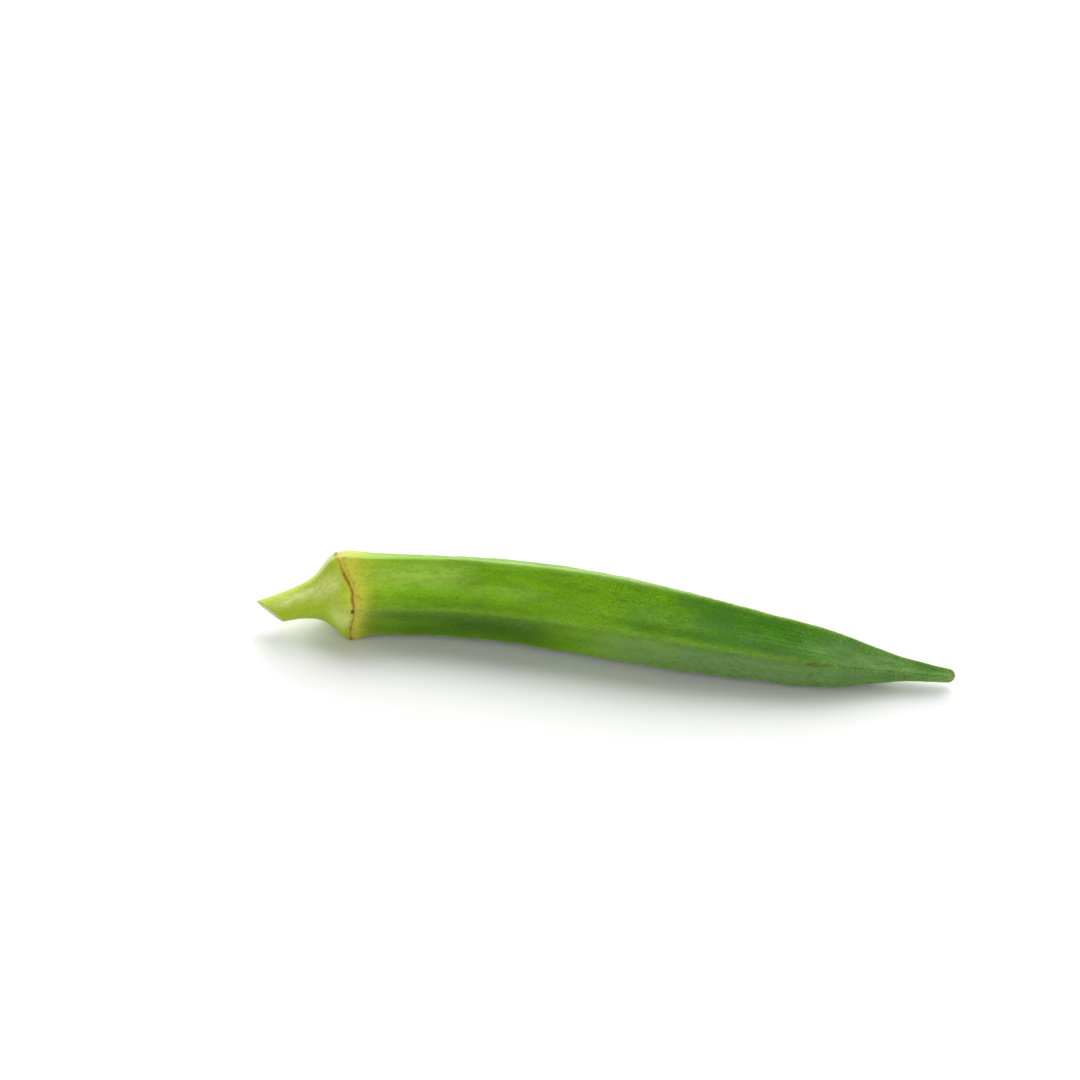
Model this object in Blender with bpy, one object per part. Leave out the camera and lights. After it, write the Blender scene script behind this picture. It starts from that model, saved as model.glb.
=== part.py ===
"""A fresh okra pod, as picked, lying on one of its five sides. Metres, +Z up.

The whole fruit is one closed skin: a cut stalk stub at -X, the five-cornered cap that the stalk
flares into, the ring-shaped scar left by the fallen flower, the ridged pod, and its beak at +X.
Rings of points are worked out along a curved axis and joined into one solid. The origin is on the
surface that the pod lies on, under the middle of its bounding box.
"""

import math

import bmesh
import bpy
import numpy as np

# Driving dimensions
LENGTH = 0.150  # along X, from the middle of the stalk's cut to the end of the beak
RIDGES = 5
MM = 0.001

# The axis: share of the length, sideways place and height above the surface, in millimetres.
# The stalk turns towards -Y and droops, and the pod sags from the cap to the beak.
AXIS = (
    (0.00, -8.0, 6.5),
    (0.10, -1.3, 8.3),
    (0.165, 0.5, 8.8),
    (0.34, 2.3, 9.4),
    (0.60, 0.3, 8.7),
    (0.82, 0.0, 5.5),
    (1.00, 1.5, 2.7),
)

# The outline: share of the length and distance from the axis to a ridge, in millimetres.
OUTLINE = (
    (0.000, 3.1),  # cut end of the stalk
    (0.050, 4.2),
    (0.072, 6.2),  # the cap flares
    (0.092, 9.7),
    (0.108, 10.4),  # the scar, on the cap's shoulder
    (0.132, 9.8),
    (0.165, 9.4),  # a slight waist
    (0.230, 9.4),
    (0.360, 9.7),
    (0.500, 9.7),  # the belly
    (0.620, 9.0),
    (0.740, 7.7),
    (0.820, 6.4),
    (0.880, 4.1),  # the beak begins
    (0.940, 2.3),
    (1.000, 1.3),
)

# How five-cornered the section is: share of the length and strength, from 0, round, to 1.
CORNERS = ((0.00, 0.15), (0.05, 0.35), (0.10, 1.00), (0.80, 1.00), (1.00, 0.70))
RIDGE_SHARPNESS = 22.0  # higher is a sharper ridge
SIDE_HOLLOW = 0.045  # how far the middle of a side sinks, as a share of its distance
TOP_RIDGE = math.radians(94.5)  # the ridge that points up half way along
TWIST = math.radians(12.0)  # turn of the ridges from the stalk to the beak

CUT_SLANT = math.radians(35.0)  # between the stalk's cut and a square cut
CUT_FACING = math.radians(-40.0)  # where round the stalk the slanted cut looks
CUT_REACH = 0.06  # share of the length over which the slant dies away
NOSE = 0.012  # share of the length that the beak's round end takes

RINGS = 54
SIDES = 40  # a multiple of the ridges, so that a point lies on each ridge

SKIN_COLOUR = (0.13, 0.31, 0.02, 1.0)
SKIN_ROUGHNESS = 0.45


def spline(stations, values, at):
    """Natural cubic spline through the stations, read at every place in at."""
    gap = np.diff(stations)
    slope = np.diff(values) / gap
    matrix = np.diag(np.r_[1.0, 2.0 * (gap[:-1] + gap[1:]), 1.0])
    matrix += np.diag(np.r_[gap[:-1], 0.0], -1)
    matrix += np.diag(np.r_[0.0, gap[1:]], 1)
    bend = np.linalg.solve(matrix, np.r_[0.0, 6.0 * np.diff(slope), 0.0])
    i = np.clip(np.searchsorted(stations, at) - 1, 0, len(gap) - 1)
    after = at - stations[i]
    before = stations[i + 1] - at
    cubic = (bend[i] * before**3 + bend[i + 1] * after**3) / (6.0 * gap[i])
    left = values[i] / gap[i] - bend[i] * gap[i] / 6.0
    right = values[i + 1] / gap[i] - bend[i + 1] * gap[i] / 6.0
    return cubic + left * before + right * after


def ridged_section(angle):
    """Radius of a regular five-sided section with rounded corners, 1 at each corner.

    Each flat side gives the cosine of the angle from its middle; a high power mean of the five
    takes the nearest side and rounds where two meet. A squared sine then sinks the sides.
    """
    middles = (np.arange(RIDGES) + 0.5) * 2.0 * math.pi / RIDGES
    reach = np.clip(np.cos(angle[..., None] - middles), 0.0, None)
    mean = (reach**RIDGE_SHARPNESS).sum(-1) ** (1.0 / RIDGE_SHARPNESS)
    polygon = math.cos(math.pi / RIDGES) * 2.0 ** (1.0 / RIDGE_SHARPNESS) / mean
    return polygon * (1.0 - SIDE_HOLLOW * np.sin(0.5 * RIDGES * angle) ** 2)


def ring_places():
    """Shares of the length for the rings: closer in the cap and towards the round end."""
    cap = np.linspace(0.0, 0.20, RINGS // 3, endpoint=False)
    pod = np.linspace(0.20, 1.0 - NOSE, RINGS - len(cap) - 5, endpoint=False)
    nose = 1.0 - NOSE * np.cos(np.linspace(0.0, 0.5 * math.pi, 6)[:-1])
    return np.r_[cap, pod, nose]


def axis_frames(at):
    """Points of the axis, and its three directions there: along, to the front (-Y) and up."""
    table = np.array(AXIS)
    side = spline(table[:, 0], table[:, 1] * MM, at)
    height = spline(table[:, 0], table[:, 2] * MM, at)
    centre = np.stack([(at - 0.5) * LENGTH, side, height], axis=1)
    along = np.gradient(centre, at, axis=0)
    along /= np.linalg.norm(along, axis=1)[:, None]
    front = np.stack([along[:, 1], -along[:, 0], np.zeros(len(at))], axis=1)
    front /= np.linalg.norm(front, axis=1)[:, None]
    return centre, along, front, np.cross(front, along)


def skin_points():
    """Rings of points on the skin, as an array of RINGS by SIDES by 3."""
    at = ring_places()
    outline = np.array(OUTLINE)
    corners = np.array(CORNERS)
    radius = spline(outline[:, 0], outline[:, 1] * MM, at)
    nose = np.clip((at - (1.0 - NOSE)) / NOSE, 0.0, 1.0)
    radius *= np.sqrt(1.0 - nose**2)
    strength = np.interp(at, corners[:, 0], corners[:, 1])[:, None]
    around = np.arange(SIDES) * 2.0 * math.pi / SIDES
    angle = TOP_RIDGE + TWIST * (at - 0.5)[:, None] + around[None, :]
    reach = radius[:, None] * (1.0 + strength * (ridged_section(around)[None, :] - 1.0))
    fade = np.clip(1.0 - at / CUT_REACH, 0.0, 1.0)[:, None] ** 2
    slide = reach * math.tan(CUT_SLANT) * np.cos(angle - CUT_FACING) * fade
    centre, along, front, up = axis_frames(at)
    return (
        centre[:, None, :]
        + (reach * np.cos(angle))[..., None] * front[:, None, :]
        + (reach * np.sin(angle))[..., None] * up[:, None, :]
        + slide[..., None] * along[:, None, :]
    )


def lay_on_surface(points):
    """Move points so that the lowest is at height 0 and their box is centred on the origin."""
    low = points.min(axis=0)
    high = points.max(axis=0)
    middle = 0.5 * (low + high)
    return points - np.array([middle[0], middle[1], low[2]])


def pod_mesh():
    """The closed solid: rings bridged with quads, a fan on the cut and one on the round end."""
    rings = skin_points()
    count = len(rings)
    beak_end = axis_frames(np.array([1.0 - NOSE, 1.0]))[0][1]
    cut_middle = rings[0].mean(axis=0)
    points = lay_on_surface(np.vstack([rings.reshape(-1, 3), cut_middle, beak_end]))
    bm = bmesh.new()
    verts = [bm.verts.new(point) for point in points]
    cut_vert = verts[-2]
    beak_vert = verts[-1]
    for ring in range(count - 1):
        for side in range(SIDES):
            a = ring * SIDES + side
            b = ring * SIDES + (side + 1) % SIDES
            bm.faces.new((verts[a], verts[b], verts[b + SIDES], verts[a + SIDES]))
    last = (count - 1) * SIDES
    for side in range(SIDES):
        after = (side + 1) % SIDES
        bm.faces.new((verts[after], verts[side], cut_vert))
        bm.faces.new((verts[last + side], verts[last + after], beak_vert))
    bmesh.ops.recalc_face_normals(bm, faces=bm.faces)
    mesh = bpy.data.meshes.new("okra_pod")
    bm.to_mesh(mesh)
    bm.free()
    mesh.shade_smooth()
    mesh.set_sharp_from_angle(angle=math.radians(40.0))
    return mesh


def skin_material():
    """Fresh green plant skin."""
    material = bpy.data.materials.new("pod_skin")
    material.use_nodes = True
    shader = material.node_tree.nodes["Principled BSDF"]
    shader.inputs["Base Color"].default_value = SKIN_COLOUR
    shader.inputs["Roughness"].default_value = SKIN_ROUGHNESS
    shader.inputs["Metallic"].default_value = 0.0
    return material


def main():
    for thing in list(bpy.data.objects):
        bpy.data.objects.remove(thing, do_unlink=True)
    pod = bpy.data.objects.new("okra_pod", pod_mesh())
    pod.data.materials.append(skin_material())
    bpy.context.scene.collection.objects.link(pod)


main()
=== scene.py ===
"""A fresh okra pod lying on a pale studio floor.

Laid out as an add-on: the settings below are what a user would change, each operator makes one
piece or the stage, and the panel in the sidebar lists them. Every length is in metres unless its
name ends in _MM. The pod's skin follows the same axis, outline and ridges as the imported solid, and
carries the fine relief, the colours and the fuzz that the solid leaves out.
"""

import math

import bpy
import numpy as np
from bpy.props import FloatProperty, FloatVectorProperty, IntProperty, PointerProperty
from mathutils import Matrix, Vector


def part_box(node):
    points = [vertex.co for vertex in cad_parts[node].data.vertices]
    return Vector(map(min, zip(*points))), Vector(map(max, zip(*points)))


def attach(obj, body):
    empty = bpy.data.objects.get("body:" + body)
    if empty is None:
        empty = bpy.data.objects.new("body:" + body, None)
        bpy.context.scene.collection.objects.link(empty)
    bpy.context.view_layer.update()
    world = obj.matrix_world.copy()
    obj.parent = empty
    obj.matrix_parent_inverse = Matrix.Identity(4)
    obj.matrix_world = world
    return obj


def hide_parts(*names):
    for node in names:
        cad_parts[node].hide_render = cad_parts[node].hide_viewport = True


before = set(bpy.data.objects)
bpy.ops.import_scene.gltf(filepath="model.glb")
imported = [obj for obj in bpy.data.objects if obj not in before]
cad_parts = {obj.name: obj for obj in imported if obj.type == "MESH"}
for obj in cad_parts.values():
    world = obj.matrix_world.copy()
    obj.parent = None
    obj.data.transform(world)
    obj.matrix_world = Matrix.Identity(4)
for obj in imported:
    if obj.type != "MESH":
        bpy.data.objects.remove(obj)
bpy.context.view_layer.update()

bl_info = {
    "name": "Okra pod",
    "version": (1, 0, 0),
    "blender": (4, 5, 0),
    "location": "View3D > Sidebar > Okra",
    "description": "Builds a fresh okra pod with its fuzz, and a studio floor with lights and a camera",
    "category": "Add Mesh",
}

MM = 0.001
NODE = "okra_pod"
BODY = "root"

# ---------------------------------------------------------------- the pod's form, as in the solid

RIDGES = 5
LENGTH = 0.150

# Share of the length, sideways place and height of the axis, in millimetres.
AXIS = np.array(
    (
        (0.00, -8.0, 6.5),
        (0.10, -1.3, 8.3),
        (0.165, 0.5, 8.8),
        (0.34, 2.3, 9.4),
        (0.60, 0.3, 8.7),
        (0.82, 0.0, 5.5),
        (1.00, 1.5, 2.7),
    )
)

# Share of the length and distance from the axis to a ridge, in millimetres.
OUTLINE = np.array(
    (
        (0.000, 3.1),
        (0.050, 4.2),
        (0.072, 6.2),
        (0.092, 9.7),
        (0.108, 10.4),
        (0.132, 9.8),
        (0.165, 9.4),
        (0.230, 9.4),
        (0.360, 9.7),
        (0.500, 9.7),
        (0.620, 9.0),
        (0.740, 7.7),
        (0.820, 6.4),
        (0.880, 4.1),
        (0.940, 2.3),
        (1.000, 1.3),
    )
)

# How five-cornered the section is: share of the length and strength.
CORNERS = np.array(((0.00, 0.15), (0.05, 0.35), (0.10, 1.00), (0.80, 1.00), (1.00, 0.70)))
TOP_RIDGE = math.radians(94.5)
TWIST = math.radians(12.0)
CUT_SLANT = math.radians(35.0)
CUT_FACING = math.radians(-40.0)
CUT_REACH = 0.06
NOSE = 0.012

# ---------------------------------------------------------------- the finer form

# The scar left by the flower: its share of the length, and how far it sways towards the beak, in
# millimetres, at each ridge and each middle of a side, going round from the top ridge to the back.
SCAR_AT = 0.110
SCAR_SWAY_MM = (-1.35, -1.75, -2.0, -0.9, 0.2, 0.3, -0.9, -0.2, 1.25, 0.65)
# Size of the dark knot where the scar crosses each ridge, in the same order.
KNOTS = (0.25, 0.8, 0.5, 0.35, 1.0)

# Old scrapes and brown streaks: share of the length, place round the pod in degrees from the top
# ridge, length and width in millimetres, strength.
MARKS = (
    (0.795, -75.0, 4.4, 1.0, 1.0),
    (0.812, -71.0, 2.2, 0.5, 0.7),
    (0.742, -68.0, 5.0, 1.4, 0.35),
    (0.150, 72.0, 9.0, 0.6, 0.8),
    (0.140, 145.0, 7.0, 0.5, 0.7),
    (0.410, 139.0, 8.0, 0.6, 0.5),
    (0.630, 70.0, 5.0, 0.5, 0.6),
    (0.560, 178.0, 4.0, 1.1, 0.4),
    (0.300, -150.0, 6.0, 0.6, 0.6),
    (0.865, 110.0, 3.0, 0.6, 0.7),
)

# Pale patches, part waxy bloom and part painted light: share of the length, place round the pod in
# degrees from the top ridge, length and width in millimetres, strength. The ones marked below are
# painted highlights, painted sheen and a painted reflection.
BLOOMS_AND_HIGHLIGHTS = (
    # The first two: painted highlights on the stalk's upper side.
    (0.045, -24.0, 12.0, 2.8, 1.15),
    (0.078, -30.0, 7.5, 5.0, 0.95),
    (0.100, -92.0, 6.5, 9.0, 1.15),
    (0.060, 60.0, 12.0, 4.0, 0.6),
    (0.090, 150.0, 7.0, 5.0, 0.7),
    # Painted highlight along the lit band of the top ridge.
    (0.410, 3.0, 48.0, 1.7, 1.3),
    # Painted sheen over bloom on the front side near the cap.
    (0.220, -24.0, 22.0, 6.5, 0.95),
    (0.330, -44.0, 26.0, 4.0, 0.5),
    (0.620, -40.0, 34.0, 5.0, 0.15),
    # The next two: painted greyish reflection of the floor on the lower side towards the beak.
    (0.665, -102.0, 66.0, 6.5, 1.1),
    (0.665, -126.0, 66.0, 7.0, 1.1),
    (0.850, -45.0, 22.0, 8.0, 0.5),
    (0.220, 36.0, 22.0, 6.0, 0.8),
    (0.480, 60.0, 30.0, 5.0, 0.5),
    (0.270, 112.0, 28.0, 6.0, 0.7),
    (0.600, 180.0, 40.0, 8.0, 0.7),
    (0.640, 108.0, 40.0, 7.0, 0.5),
    (0.200, -110.0, 18.0, 4.0, 0.35),
)

# Deeper green patches, in the same terms, partly painted shade: the first is a painted shadow on the
# lower side near the cap, the third is painted shade along the front side's border just above the
# lower front ridge, and the other two are deeper tone on the hidden sides.
SHADES = (
    # Painted shadow on the lower side near the cap.
    (0.290, -108.0, 54.0, 14.0, 1.0),
    (0.560, 36.0, 40.0, 7.0, 0.4),
    # Painted shade along the border just above the lower front ridge.
    (0.640, -61.0, 44.0, 2.0, 0.5),
    (0.330, 180.0, 44.0, 9.0, 0.5),
)

# How far above the floor the skin, a hair and a hair's root stay.
SKIN_CLEARANCE_MM = 0.02
HAIR_CLEARANCE_MM = 0.05
ROOT_CLEARANCE_MM = 0.08
# How deep a hair's root sits in the skin.
ROOT_DEPTH_MM = 0.04

# A hair's form by the numbers of its points: the root's three, then on a bent hair the middle's
# three, then the tip. "shares" is each point's share of the hair's length, "threes" and "fours" are
# its walls of three and of four corners, and "low" is where the tip's walls begin on the flat map.
STRAIGHT_HAIR = {
    "shares": (0.0, 0.0, 0.0, 1.0),
    "threes": ((2, 1, 0), (0, 1, 3), (1, 2, 3), (2, 0, 3)),
    "fours": (),
    "low": 0,
}
BENT_HAIR = {
    "shares": (0.0, 0.0, 0.0, 0.5, 0.5, 0.5, 1.0),
    "threes": ((2, 1, 0), (3, 4, 6), (4, 5, 6), (5, 3, 6)),
    "fours": ((0, 1, 4, 3), (1, 2, 5, 4), (2, 0, 3, 5)),
    "low": 1,
}

# The floor glows from the first to the second distance from the pod, in metres, up to GLOW.
GLOW_RANGE = (0.5, 1.4)
GLOW = 0.45

# The lights: distance from the pod, and width and height, in metres.
LIGHTS = {"key": (0.9, (1.2, 0.8)), "rim": (0.9, (1.0, 0.3)), "fill": (1.0, (0.8, 0.8))}
LIGHT_PARTS = ("azimuth", "elevation", "power")
LIGHT_TARGET = (0.0, 0.0, 0.01)
# The surroundings dim between these heights of a direction, where 1 is straight up.
DIMMING = (0.25, 0.95)

# Rings of points: share of the length where each zone ends, and how many rings it has.
ZONES = ((0.092, 52), (0.132, 62), (0.880, 236), (1.0 - NOSE, 44))
NOSE_RINGS = 8
SIDES = 230
# Empty border of the skin's flat map, as a share of it.
MAP_MARGIN = 0.005

# Colours of the small features.
DEEP_GREEN = (0.045, 0.165, 0.012, 1.0)
# Colour of the painted shade, mixed in where the stored bloom value is negative.
SHADED_GREEN = (0.036, 0.115, 0.001, 1.0)
RIDGE_GREEN = (0.26, 0.45, 0.025, 1.0)
SPECK_GREEN = (0.36, 0.55, 0.14, 1.0)
FRECKLE_BROWN = (0.30, 0.22, 0.022, 1.0)
STAIN_BROWN = (0.56, 0.36, 0.045, 1.0)
KNOT_BROWN = (0.050, 0.036, 0.008, 1.0)
SCRAPE_BROWN = (0.085, 0.062, 0.022, 1.0)
TIP_BROWN = (0.19, 0.17, 0.06)
TIP_ROSE = (0.5, 0.3, 0.15)
VESSEL_CREAM = (0.66, 0.72, 0.45, 1.0)
DRIED_CREAM = (0.58, 0.55, 0.36, 1.0)

# Colour of the bloom and of the painted highlights and reflection along the pod: pale near the
# cap, where the stalk's painted highlights are, and grey-green towards the beak, where the floor's
# reflection is painted.
BLOOM_AND_HIGHLIGHT_STOPS = (
    (0.10, (0.72, 0.78, 0.28)),
    (0.17, (0.46, 0.66, 0.10)),
    (0.40, (0.34, 0.52, 0.12)),
    (0.55, (0.20, 0.31, 0.12)),
)

# The cut face's colours from its core to its rim: core, pith, vessels, flesh. The core's near
# black is painted shade for the small hollow at the middle.
CUT_STOPS = (
    (0.00, (0.05, 0.06, 0.015)),
    (0.14, (0.16, 0.17, 0.05)),
    (0.26, (0.50, 0.55, 0.28)),
    (0.46, (0.50, 0.57, 0.27)),
    (0.58, (0.32, 0.45, 0.12)),
    (0.70, (0.40, 0.52, 0.18)),
    (0.90, (0.36, 0.48, 0.15)),
    (0.97, (0.28, 0.42, 0.08)),
)

# Distances from the scar line are held within this, in millimetres.
SCAR_REACH_MM = 30.0

# Random fields of waves: seed, how many waves, range of waves along the pod and round it.
RIB_RIPPLE = (3, 12, (8.0, 30.0), (0, 3))
FIBRES = (5, 40, (-1.5, 1.5), (24, 70))
FIBRE_PATCHES = (6, 10, (2.0, 8.0), (1, 6))
SEED_LUMPS = (8, 26, (9.0, 20.0), (2, 6))
SLOW_SWELLS = (9, 14, (1.5, 5.0), (1, 4))
CROSS_WRINKLES = (12, 30, (30.0, 60.0), (4, 14))
LIP_RIPPLE = (14, 16, (0.0, 30.0), (7, 40))
BEAK_FURROWS = (17, 10, (0.5, 3.0), (7, 12))
SCAR_JITTER = (31, 9, (0.0, 0.0), (9, 26))
CUT_RIPPLE = (41, 12, (0.5, 4.0), (3, 17))

# Heights of the relief, in millimetres.
SCAR_JITTER_MM = 0.07
LUMP_MM = 0.030
FAR_LUMP_MM = 0.045
SWELL_MM = 0.05
WRINKLE_MM = 0.010
FURROW_MM = 0.018
LIP_MM = 0.13
LIP_RIPPLE_MM = 0.05
KNOT_MM = 0.32
MARK_DEPTH_MM = 0.10
CUT_RIPPLE_MM = 0.02
# The relief fades out where the pod's radius falls below this, at the beak's round end.
RELIEF_FULL_MM = 1.2

# Half widths of the relief, in millimetres.
RIB_HALF_WIDTH_MM = 0.55
CALM_HALF_WIDTH_MM = 2.0
LIP_HALF_WIDTH_MM = 0.30

# Bands that follow the scar: height, place behind the scar line and half width, in millimetres.
SCAR_BANDS = (
    (-0.12, 0.62, 0.28),
    (0.10, 2.0, 1.3),
    (0.10, -1.3, 0.8),
)

# The cut face, from the rim inwards: share of the rim's radius and depth below the cut, in mm.
CUT_PROFILE = (
    (0.985, -0.02),
    (0.955, -0.02),
    (0.90, 0.00),
    (0.84, 0.01),
    (0.76, 0.00),
    (0.68, -0.01),
    (0.60, 0.00),
    (0.52, 0.03),
    (0.44, 0.05),
    (0.36, 0.04),
    (0.28, 0.08),
    (0.20, 0.30),
    (0.12, 0.70),
    (0.05, 1.00),
)
# Depth of the cut face's middle point below the cut.
CORE_DEPTH_MM = 1.05


def spline(stations, values, at):
    """Natural cubic spline through the stations, read at every place in at."""
    gap = np.diff(stations)
    slope = np.diff(values) / gap
    matrix = np.diag(np.r_[1.0, 2.0 * (gap[:-1] + gap[1:]), 1.0])
    matrix += np.diag(np.r_[gap[:-1], 0.0], -1)
    matrix += np.diag(np.r_[0.0, gap[1:]], 1)
    bend = np.linalg.solve(matrix, np.r_[0.0, 6.0 * np.diff(slope), 0.0])
    i = np.clip(np.searchsorted(stations, at) - 1, 0, len(gap) - 1)
    after = at - stations[i]
    before = stations[i + 1] - at
    cubic = (bend[i] * before**3 + bend[i + 1] * after**3) / (6.0 * gap[i])
    left = values[i] / gap[i] - bend[i] * gap[i] / 6.0
    right = values[i + 1] / gap[i] - bend[i + 1] * gap[i] / 6.0
    return cubic + left * before + right * after


def ridged_section(angle, sharpness, hollow):
    """Radius of a regular five-sided section, 1 on each ridge.

    Each flat side gives the cosine of the angle from its middle; the high power mean of the five
    takes the nearest side and rounds where two meet; a squared sine then sinks each side.
    """
    middles = (np.arange(RIDGES) + 0.5) * 2.0 * math.pi / RIDGES
    reach = np.clip(np.cos(angle[..., None] - middles), 0.0, None)
    mean = (reach**sharpness).sum(-1) ** (1.0 / sharpness)
    polygon = math.cos(math.pi / RIDGES) * 2.0 ** (1.0 / sharpness) / mean
    return polygon * (1.0 - hollow * np.sin(0.5 * RIDGES * angle) ** 2)


def axis_frames(at):
    """Points of the axis, and its three directions there: along, to the front (-Y) and up."""
    side = spline(AXIS[:, 0], AXIS[:, 1] * MM, at)
    height = spline(AXIS[:, 0], AXIS[:, 2] * MM, at)
    centre = np.stack([(at - 0.5) * LENGTH, side, height], axis=1)
    along = np.gradient(centre, at, axis=0)
    along /= np.linalg.norm(along, axis=1)[:, None]
    front = np.stack([along[:, 1], -along[:, 0], np.zeros(len(at))], axis=1)
    front /= np.linalg.norm(front, axis=1)[:, None]
    return centre, along, front, np.cross(front, along)


def ripples(at, around, seed, waves, along, about):
    """Smooth random field with unit spread: a sum of sine waves at random phases.

    Each wave runs a whole number of times round the pod, drawn from about, so the field closes
    on itself, and along gives the range of waves over the pod's length.
    """
    rng = np.random.default_rng(seed)
    total = np.zeros(np.broadcast(at, around).shape)
    for _ in range(waves):
        turns = rng.integers(about[0], about[1] + 1) * rng.choice((-1, 1))
        pace = rng.uniform(*along) * 2.0 * math.pi
        total += np.sin(pace * at + turns * around + rng.uniform(0.0, 2.0 * math.pi))
    return total / math.sqrt(0.5 * waves)


def smooth_step(value, low, high):
    """0 below low, 1 above high, and an S-shaped cubic between them."""
    share = np.clip((value - low) / (high - low), 0.0, 1.0)
    return share * share * (3.0 - 2.0 * share)


def bell(value, width):
    """Gaussian bump of the given half width, 1 at value 0."""
    return np.exp(-((value / width) ** 2))


def turn_gap(around, place):
    """Signed angle from place to around, between minus and plus half a turn."""
    return (around - place + math.pi) % (2.0 * math.pi) - math.pi


def ridge_gap(around):
    """Signed angle from the nearest ridge."""
    step = 2.0 * math.pi / RIDGES
    return (around + 0.5 * step) % step - 0.5 * step


def scar_gap_mm(at, around):
    """Distance along the pod from the scar line, in millimetres, positive towards the beak.

    The line sways through the values of SCAR_SWAY_MM on a spline that closes on itself.
    """
    count = len(SCAR_SWAY_MM)
    wrapped = np.arange(-3, count + 4)
    sway = np.array(SCAR_SWAY_MM)[wrapped % count]
    step = 2.0 * math.pi / count
    line = spline(wrapped * step, sway, around % (2.0 * math.pi))
    line = line + SCAR_JITTER_MM * ripples(0.0, around, *SCAR_JITTER)
    return (at - SCAR_AT) * LENGTH / MM - line


def ring_places():
    """Share of the length for each ring of points, dense at the scar and at the round end."""
    start = 0.0
    parts = []
    for end, count in ZONES:
        parts.append(np.linspace(start, end, count, endpoint=False))
        start = end
    parts.append(1.0 - NOSE * np.cos(np.linspace(0.0, 0.5 * math.pi, NOSE_RINGS + 1)[:-1]))
    return np.concatenate(parts)


def knot_bumps(gap_mm, around, arc_mm):
    """Sum of five round bumps where the scar line crosses the ridges, each of its own size."""
    total = np.zeros(gap_mm.shape)
    for index, size in enumerate(KNOTS):
        across = turn_gap(around, index * 2.0 * math.pi / RIDGES) * arc_mm
        total += size * bell(np.hypot(gap_mm + 0.3, across), 0.35 + 0.25 * size)
    return total


def oval_mask(ovals, at, around, arc_mm):
    """0 to 1 inside the ovals, each long and soft; where two meet the stronger one counts."""
    mask = np.zeros(np.broadcast(at, around).shape)
    for place, degrees, long_mm, wide_mm, strength in ovals:
        down = (at - place) * LENGTH / MM / (0.5 * long_mm)
        across = turn_gap(around, math.radians(degrees)) * arc_mm / (0.5 * wide_mm)
        mask = np.maximum(mask, strength * np.exp(-(down**4) - across**2))
    return mask


def relief_mm(at, around, reach_mm, ridge_rib_mm, fibre_mm):
    """Height of the fine relief over the plain ridged skin, in millimetres.

    A rib along each ridge, lengthwise fibres, lumps over the seeds that calm down near the ridges,
    slow swells, faint cross wrinkles and the beak's furrows; then the scar's lip and knots, the
    bands beside it (groove, swollen collar and shoulder), and the sunken marks.
    """
    gap = scar_gap_mm(at, around)
    arc = np.maximum(reach_mm, 1.0)
    from_ridge = ridge_gap(around) * arc
    beyond = smooth_step(gap, 0.3, 2.5)
    beak = smooth_step(at, 0.84, 0.93)

    rib = ridge_rib_mm * bell(from_ridge, RIB_HALF_WIDTH_MM) * smooth_step(at, 0.07, 0.14)
    rib = rib * (1.0 + 0.25 * ripples(at, around, *RIB_RIPPLE))
    fibres = ripples(at, around, *FIBRES)
    fibres = fibres * (0.65 + 0.35 * ripples(at, around, *FIBRE_PATCHES))
    total = rib + fibre_mm * fibres * (0.5 + 0.5 * beyond) * np.minimum(arc / 6.0, 1.0)

    calm = 1.0 - 0.65 * bell(from_ridge, CALM_HALF_WIDTH_MM)
    lump_mm = LUMP_MM + FAR_LUMP_MM * smooth_step(at, 0.55, 0.75)
    total += lump_mm * ripples(at, around, *SEED_LUMPS) * calm * beyond * (1.0 - beak)
    swell_mm = SWELL_MM * smooth_step(at, 0.02, 0.08) * (1.0 - 0.6 * beak)
    total += swell_mm * ripples(at, around, *SLOW_SWELLS)
    total += WRINKLE_MM * ripples(at, around, *CROSS_WRINKLES) * np.minimum(arc / 4.0, 1.0)
    total += FURROW_MM * beak * ripples(at, around, *BEAK_FURROWS) * np.minimum(arc / 3.0, 1.0)

    total += bell(gap, LIP_HALF_WIDTH_MM) * (LIP_MM + LIP_RIPPLE_MM * ripples(at, around, *LIP_RIPPLE))
    for height_mm, behind_mm, half_width_mm in SCAR_BANDS:
        total += height_mm * bell(gap - behind_mm, half_width_mm)
    total += KNOT_MM * knot_bumps(gap, around, arc)
    return total - MARK_DEPTH_MM * oval_mask(MARKS, at, around, arc)


def skin_surface(settings, relief=True):
    """Rings of points on the skin, rings by sides by 3, and the grids that go with them.

    Each point is the axis point, plus the section's radius in the ring's front and up directions,
    plus a slide along the axis that makes the stalk's end a slanted plane.
    """
    at = ring_places()
    around = np.arange(SIDES) * 2.0 * math.pi / SIDES
    radius = spline(OUTLINE[:, 0], OUTLINE[:, 1] * MM, at)
    nose = np.clip((at - (1.0 - NOSE)) / NOSE, 0.0, 1.0)
    radius = radius * np.sqrt(1.0 - nose**2)
    strength = np.interp(at, CORNERS[:, 0], CORNERS[:, 1])[:, None]
    section = ridged_section(around, settings.ridge_sharpness, settings.side_hollow)[None, :]
    reach = radius[:, None] * (1.0 + strength * (section - 1.0))
    places, turns = np.broadcast_arrays(at[:, None], around[None, :])
    if relief:
        fade = np.clip(radius / (RELIEF_FULL_MM * MM), 0.0, 1.0)[:, None] ** 2
        height = relief_mm(places, turns, reach / MM, settings.rib / MM, settings.fibre / MM)
        reach = reach + height * MM * fade
    angle = TOP_RIDGE + TWIST * (at - 0.5)[:, None] + turns
    fade = np.clip(1.0 - at / CUT_REACH, 0.0, 1.0)[:, None] ** 2
    slide = reach * math.tan(CUT_SLANT) * np.cos(angle - CUT_FACING) * fade
    centre, along, front, up = axis_frames(at)
    points = (
        centre[:, None, :]
        + (reach * np.cos(angle))[..., None] * front[:, None, :]
        + (reach * np.sin(angle))[..., None] * up[:, None, :]
        + slide[..., None] * along[:, None, :]
    )
    return points, places, turns, reach, along


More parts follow.
